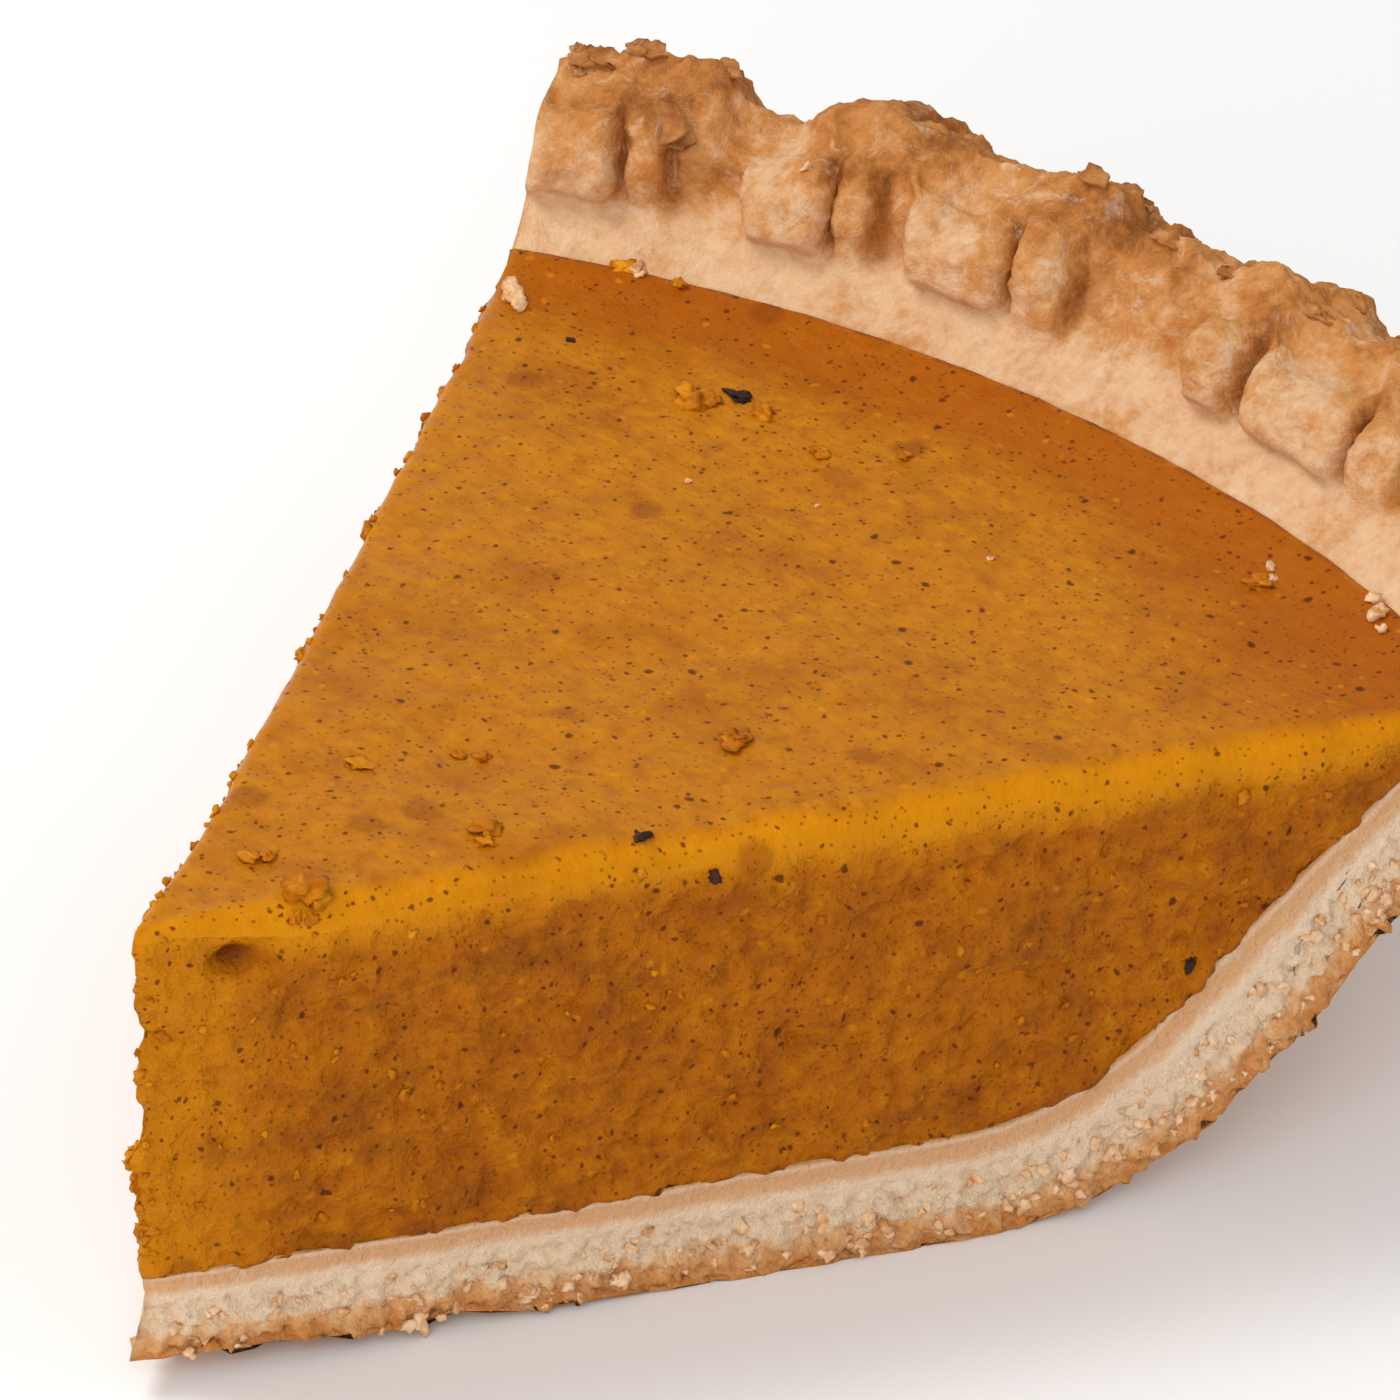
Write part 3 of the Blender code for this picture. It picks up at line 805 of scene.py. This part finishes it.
def pumpkin_custard():
    """Set pumpkin custard: a moist orange gel with a satin skin and dark specks of spice."""
    made, tree, shader, place = new_material("set_pumpkin_custard")
    skin = attribute(tree, "skin")
    stir = add_node(tree, "ShaderNodeTexNoise", {}, {"Vector": place, "Scale": 1 / 0.0012, "Detail": 2.0})
    stir_inputs = {0: stir.outputs["Color"], 1: (0.0009, 0.0009, 0.0009), 2: place}
    ragged = add_node(tree, "ShaderNodeVectorMath", {"operation": "MULTIPLY_ADD"}, stir_inputs).outputs[0]
    grain = cloudy(tree, place, 0.0017, {"Detail": 5.0, "Roughness": 0.6})
    cut_stops = [(0.3, "#9C5000"), (0.48, "#B16202"), (0.62, "#B96B02"), (0.8, "#CC8208")]
    skin_stops = [(0.3, "#AC6404"), (0.5, "#BA7108"), (0.75, "#C67E0E")]
    colour = mixed(tree, skin, ramp(tree, cut_stops, grain), ramp(tree, skin_stops, grain))
    clouds = spread(tree, cloudy(tree, place, 0.007, {"Detail": 5.0}), 0.5, 0.72)
    colour = tinted(tree, colour, clouds, "#8C4204", 0.5)
    smear_place = turned_place(tree, place, (math.radians(40.0), 0.0, 0.0), (1.0, 0.35, 1.0))
    smear = cloudy(tree, smear_place, 0.0045, {"Detail": 5.0, "Roughness": 0.65})
    on_face = maths(tree, "SUBTRACT", 1.0, skin)
    dark_smear = maths(tree, "MULTIPLY", spread(tree, smear, 0.51, 0.64), on_face)
    colour = tinted(tree, colour, dark_smear, "#74360A", 0.42)
    colour = tinted(tree, colour, attribute(tree, "rim_band"), "#A04A00", 0.7)
    # Painted glow: the thin rounded edges and the point are tinted a bright yellow, as if lit through.
    colour = tinted(tree, colour, attribute(tree, "edge"), "#DC8C02", 0.8)
    # Painted shade: the opened bubble near the point is tinted a dark red-brown.
    colour = tinted(tree, colour, attribute(tree, "hollow"), "#5E2004", 0.9)
    for cell, size, chosen, tint, most in SPECKS:
        colour = tinted(tree, colour, specks(tree, ragged, cell, size, chosen), tint, most)
    colour = tinted(tree, colour, specks(tree, place, *FINEST_SPECKS), "#6E300A", 0.6)
    tree.links.new(colour, shader.inputs["Base Color"])
    wrinkle_place = turned_place(tree, place, (0.0, 0.0, math.radians(-35.0)), (0.4, 1.0, 1.0))
    wrinkled = bumped(tree, cloudy(tree, wrinkle_place, 0.0009, {"Detail": 3.0}), 0.45, 0.0004)
    lumpy = bumped(tree, grain, spread(tree, skin, 0.0, 1.0, 0.9, 0.3), 0.0012, wrinkled)
    tree.links.new(lumpy, shader.inputs["Normal"])
    tree.links.new(spread(tree, grain, 0.35, 0.65, 0.18, 0.46), shader.inputs["Roughness"])
    shader.inputs["IOR"].default_value = 1.40
    shader.inputs["Specular IOR Level"].default_value = 0.12
    shader.inputs["Subsurface Weight"].default_value = 0.08
    shader.inputs["Subsurface Radius"].default_value = (0.0022, 0.0009, 0.0002)
    shader.inputs["Subsurface Scale"].default_value = 1.0
    return made


custard.data.materials.append(pumpkin_custard())
print("custard surface", custard.data.materials[0].name)

# %% [markdown]
# A cut slice never stays clean. Crumbs of pastry and lumps of custard fall on the skin and cling to
# the cuts, and the rim's dry crest sheds thin flakes. Each kind is one mesh of small solids. A ray
# sent at the finished surface finds where each one lies, so that none of them floats.

# %% Find the surfaces that crumbs lie on
def surface(piece):
    """A tree of a finished piece's faces that answers where a ray meets it."""
    corners = [vertex.co for vertex in piece.data.vertices]
    return BVHTree.FromPolygons(corners, [face.vertices for face in piece.data.polygons])


custard_surface = surface(custard)
pastry_surface = surface(pastry)
chance = random.Random(7)


def meet(tree, start, direction):
    """The point and normal where a ray meets a surface, or None twice."""
    point, normal, _, _ = tree.ray_cast(start, direction)
    return point, normal


def on_top(x, y):
    """The point of the slice's upper surface at x and y millimetres, and its normal."""
    start = Vector((0.001 * x, 0.001 * y, 0.08))
    found = [meet(tree, start, Vector((0.0, 0.0, -1.0))) for tree in (custard_surface, pastry_surface)]
    return max((pair for pair in found if pair[0]), key=lambda pair: pair[0].z)


def on_cut_face(side, radius, height, tree):
    """The point of a cut face at a radius and a height, and its normal. Side is 1 for the left cut."""
    outward = Vector((-math.cos(SLICE_ANGLE / 2) * side, -math.sin(SLICE_ANGLE / 2), 0.0))
    start = PIE_AXIS + cartesian(radius, side * SLICE_ANGLE / 2, height) + 0.01 * outward
    return meet(tree, start, -outward)


# %% [markdown]
# A crumb breaks along its weak places, so it is never round. Each one starts as an icosphere, is
# stretched and flattened, and is pushed about by noise nearly as coarse as the crumb itself. It is
# sunk a little, as on a moist skin, which also hides its underside.

# %% Shape one crumb
def add_crumb(shape, point, normal, size, flat, detail, sink):
    """Adds a crumb: a ball pushed about by noise, laid along the surface and sunk a little in it."""
    made = bmesh.ops.create_icosphere(shape, subdivisions=detail, radius=0.5 * size)["verts"]
    seed = chance.uniform(1.0, 90.0)
    stretch = chance.uniform(0.75, 1.35)
    for vertex in made:
        push = 1.0 + 0.9 * crumbly(vertex.co, 0.45 * size, seed)
        vertex.co = Vector((stretch * vertex.co.x, vertex.co.y, flat * vertex.co.z)) * push
    lie = normal.to_track_quat("Z", "Y").to_matrix().to_4x4() @ Matrix.Rotation(seed, 4, "Z")
    place = point + normal * size * (0.5 * flat - sink) - PIE_AXIS
    bmesh.ops.transform(shape, matrix=Matrix.Translation(place) @ lie, verts=made)
    for vertex in made:
        vertex.co = keep_inside(vertex.co)


# %% [markdown]
# The knife drags dry crumb over the slice. The larger crumbs are placed one by one, in millimetres.
# The small ones cling to the pastry of both cuts, most of them on the front one, and keep clear of
# the damp band beside the custard.

# %% Scatter pastry crumbs
CUT_CRUMBS = 360
FALLEN_CRUMBS = (
    (-41.1, 25.8, 1.9), (-40.0, 24.9, 1.2), (-42.3, 26.6, 1.3), (-36.9, 34.8, 1.2), (-36.0, 34.3, 0.8),
    (23.5, 34.9, 0.9), (24.4, 33.9, 0.7), (-5.5, 18.4, 0.4), (8.1, 21.7, 0.4), (-14.3, 14.2, 0.5),
    (33.6, 34.6, 1.5), (32.2, 35.8, 1.1), (34.9, 33.2, 0.9), (-28.0, 43.4, 0.9),
)
crumb_shape = bmesh.new()
for x, y, size in FALLEN_CRUMBS:
    add_crumb(crumb_shape, *on_top(x, y), 0.001 * size, 0.7, 2, 0.25)
for number in range(CUT_CRUMBS):
    side = -1 if number % 4 else 1
    place = chance.uniform(0.5, 28.0)
    spot = inner_line(place).lerp(outer_line(place), chance.uniform(0.40, 0.93))
    point, normal = on_cut_face(side, spot.x, spot.y, pastry_surface)
    if point:
        add_crumb(crumb_shape, point, normal, chance.triangular(0.0003, 0.0012, 0.0005), 0.7, 2, 0.32)
pastry_crumbs = add_piece("pastry_crumbs", crumb_shape)


# %% [markdown]
# Custard sticks to the knife and comes off in soft lumps. Some lie on the skin, placed one by one.
# The rest are small and hang on the left cut's upper edge, on the point and on the front cut. A lump
# is flatter than a crumb, because it slumps.

# %% Scatter custard lumps
EDGE_LUMPS = 80
POINT_LUMPS = 45
FACE_LUMPS = 70
FALLEN_LUMPS = (
    (-22.1, 23.7, 2.4, 0.5), (-21.0, 24.6, 1.4, 0.6), (-16.8, 26.0, 1.6, 0.6), (-5.6, 28.6, 1.0, 0.6),
    (-10.5, 24.7, 1.1, 0.6), (-33.0, 35.3, 1.0, 0.6), (-37.6, 34.2, 1.7, 0.35), (3.8, -48.1, 2.2, 0.7),
    (4.9, -47.6, 1.3, 0.7), (7.5, -33.3, 1.9, 0.35), (8.5, -34.4, 1.1, 0.5), (-1.1, -26.1, 1.4, 0.3),
    (0.5, -25.6, 1.0, 0.4), (24.0, 33.0, 1.3, 0.4), (-1.8, -47.3, 1.1, 0.5), (-1.0, -46.2, 0.9, 0.5),
    (5.4, -48.8, 0.9, 0.5), (4.7, -49.9, 0.8, 0.5), (11.6, -11.3, 2.4, 0.25), (-4.9, -32.4, 1.6, 0.2),
)
lump_shape = bmesh.new()
for x, y, size, flat in FALLEN_LUMPS:
    add_crumb(lump_shape, *on_top(x, y), 0.001 * size, flat, 3, 0.5 * flat - 0.12)
for number in range(EDGE_LUMPS):
    radius = chance.uniform(0.004, 0.099)
    start = PIE_AXIS + cartesian(radius, SLICE_ANGLE / 2, 0.0372 - chance.uniform(0.0, 0.002))
    start += Vector((-0.01 * math.cos(SLICE_ANGLE / 2), -0.01 * math.sin(SLICE_ANGLE / 2), 0.006))
    aside = Vector((math.cos(SLICE_ANGLE / 2), math.sin(SLICE_ANGLE / 2), -0.6)).normalized()
    point, normal = meet(custard_surface, start, aside)
    if point:
        add_crumb(lump_shape, point, normal, chance.triangular(0.0003, 0.0011, 0.0005), 0.7, 2, 0.25)
for number in range(POINT_LUMPS):
    height = chance.uniform(0.010, 0.037)
    start = PIE_AXIS + Vector((chance.uniform(-0.0012, 0.0006), -0.01, height))
    point, normal = meet(custard_surface, start, Vector((0.0, 1.0, 0.0)))
    if point:
        add_crumb(lump_shape, point, normal, chance.triangular(0.0003, 0.0012, 0.0005), 0.6, 2, 0.3)
for number in range(FACE_LUMPS):
    height = chance.uniform(0.011, 0.036)
    point, normal = on_cut_face(-1, chance.uniform(0.004, 0.095), height, custard_surface)
    if point:
        add_crumb(lump_shape, point, normal, chance.triangular(0.0003, 0.0009, 0.0004), 0.45, 2, 0.16)
custard_lumps = add_piece("custard_lumps", lump_shape)

# %% [markdown]
# A few specks of sugar and spice burnt in the oven. They are thin, hard-edged and nearly black, and
# are shaped like crumbs, only flatter.

# %% Lay the burnt specks
BURNT_PLACES = (
    (-20.1, 26.5, 1.2, 0.3),
    (-19.4, 26.3, 0.9, 0.3),
    (15.3, -26.0, 1.0, 0.2),
    (-34.3, 24.2, 0.6, 0.3),
)
burnt_shape = bmesh.new()
for x, y, size, flat in BURNT_PLACES:
    add_crumb(burnt_shape, *on_top(x, y), 0.001 * size, flat, 3, 0.5 * flat - 0.1)
add_crumb(burnt_shape, *on_cut_face(-1, 0.0797, 0.0202, custard_surface), 0.0008, 0.5, 3, 0.12)
add_crumb(burnt_shape, *on_cut_face(-1, 0.0420, 0.0345, custard_surface), 0.0007, 0.4, 3, 0.1)
burnt_specks = add_piece("burnt_specks", burnt_shape)


# %% [markdown]
# The rim's crest dries into thin layers that lift and break. A flake is a small curled grid made
# solid, laid on the crest and tipped. Two larger ones stand beside the crack in the first pinch.

# %% Shape the rim's flakes
def add_flake(shape, angle, radius, length, width, lift):
    """Adds a thin curled chip that lies across the rim's crest, with its outer edge lifted."""
    start = PIE_AXIS + cartesian(radius, angle, 0.08)
    point, normal = meet(pastry_surface, start, Vector((0.0, 0.0, -1.0)))
    if not point:
        return
    made = bmesh.ops.create_grid(shape, x_segments=7, y_segments=4, size=0.5)["verts"]
    faces = list({face for vertex in made for face in vertex.link_faces})
    seed = chance.uniform(1.0, 90.0)
    for vertex in made:
        ragged = 1.0 + 0.16 * rough(vertex.co, 0.25, seed)
        x = length * vertex.co.x * ragged * (1.0 - 1.1 * vertex.co.y**2)
        y = width * vertex.co.y * ragged * (1.0 - 1.1 * vertex.co.x**2)
        curl = 0.25 * width * (2.0 * vertex.co.y) ** 2 + 0.0002 * rough(vertex.co, 0.25, seed + 3.0)
        vertex.co = (x, y, curl)
    thick = bmesh.ops.solidify(shape, geom=faces, thickness=0.00028)["geom"]
    made += [item for item in thick if isinstance(item, bmesh.types.BMVert) and item not in made]
    lie = Matrix.Rotation(angle + chance.uniform(-0.5, 0.5), 4, "Z") @ Matrix.Rotation(lift, 4, "X")
    place = point - PIE_AXIS
    bmesh.ops.transform(shape, matrix=Matrix.Translation(place) @ lie, verts=made)
    for vertex in made:
        vertex.co = keep_inside(vertex.co)


FLAKE_PLACES = (26.2, 25.4, 24.2, 20.8, 11.4, 4.4, 0.8, -2.2, -6.0, -12.0, -17.0, -23.0)
flake_shape = bmesh.new()
for place in FLAKE_PLACES:
    for number in range(3):
        turned = math.radians(place + chance.uniform(-0.8, 0.8))
        length = chance.uniform(0.0014, 0.0032)
        radius = chance.uniform(0.1135, 0.1182)
        lift = chance.uniform(-0.1, 0.35)
        add_flake(flake_shape, turned, radius, length, 0.6 * length, lift)
add_flake(flake_shape, math.radians(22.0), 0.1088, 0.0045, 0.0032, 1.1)
add_flake(flake_shape, math.radians(21.4), 0.1092, 0.0032, 0.0022, 0.8)
bmesh.ops.recalc_face_normals(flake_shape, faces=flake_shape.faces[:])
rim_flakes = add_piece("rim_flakes", flake_shape)


# %% [markdown]
# Loose bits are the same stuff as what they fell from, only drier. Broken crumbs scatter light and
# look paler than the crust, and custard lumps keep a moist gloss. Burnt specks are hard and near
# black, and the flakes were thin enough to brown right through.

# %% Crumb and flake materials
def loose_bits(name, stops, grain, roughness, shine):
    """Small loose bits: a colour that varies from bit to bit and within each, with a fine grain."""
    made, tree, shader, place = new_material(name)
    shade = cloudy(tree, place, grain, {"Detail": 4.0, "Roughness": 0.7})
    tree.links.new(ramp(tree, stops, shade), shader.inputs["Base Color"])
    tree.links.new(bumped(tree, shade, 0.4, 0.3 * grain), shader.inputs["Normal"])
    shader.inputs["Roughness"].default_value = roughness
    shader.inputs["IOR"].default_value = 1.45
    shader.inputs["Specular IOR Level"].default_value = shine
    return made


crumb_stops = [(0.34, "#BE8446"), (0.46, "#E2B282"), (0.66, "#F8D6B0")]
pastry_crumbs.data.materials.append(loose_bits("dry_pastry_crumbs", crumb_stops, 0.0016, 0.85, 0.3))
lump_stops = [(0.3, "#9E4E02"), (0.5, "#BC6C04"), (0.72, "#D8900A")]
custard_lumps.data.materials.append(loose_bits("moist_custard_lumps", lump_stops, 0.0030, 0.4, 0.12))
burnt_stops = [(0.3, "#150C07"), (0.5, "#2C140A"), (0.7, "#5A2008")]
burnt_specks.data.materials.append(loose_bits("charred_specks", burnt_stops, 0.0012, 0.5, 0.3))
flake_stops = [(0.3, "#8E5220"), (0.5, "#AE7038"), (0.7, "#C88E54")]
rim_flakes.data.materials.append(loose_bits("browned_pastry_flakes", flake_stops, 0.0020, 0.75, 0.3))
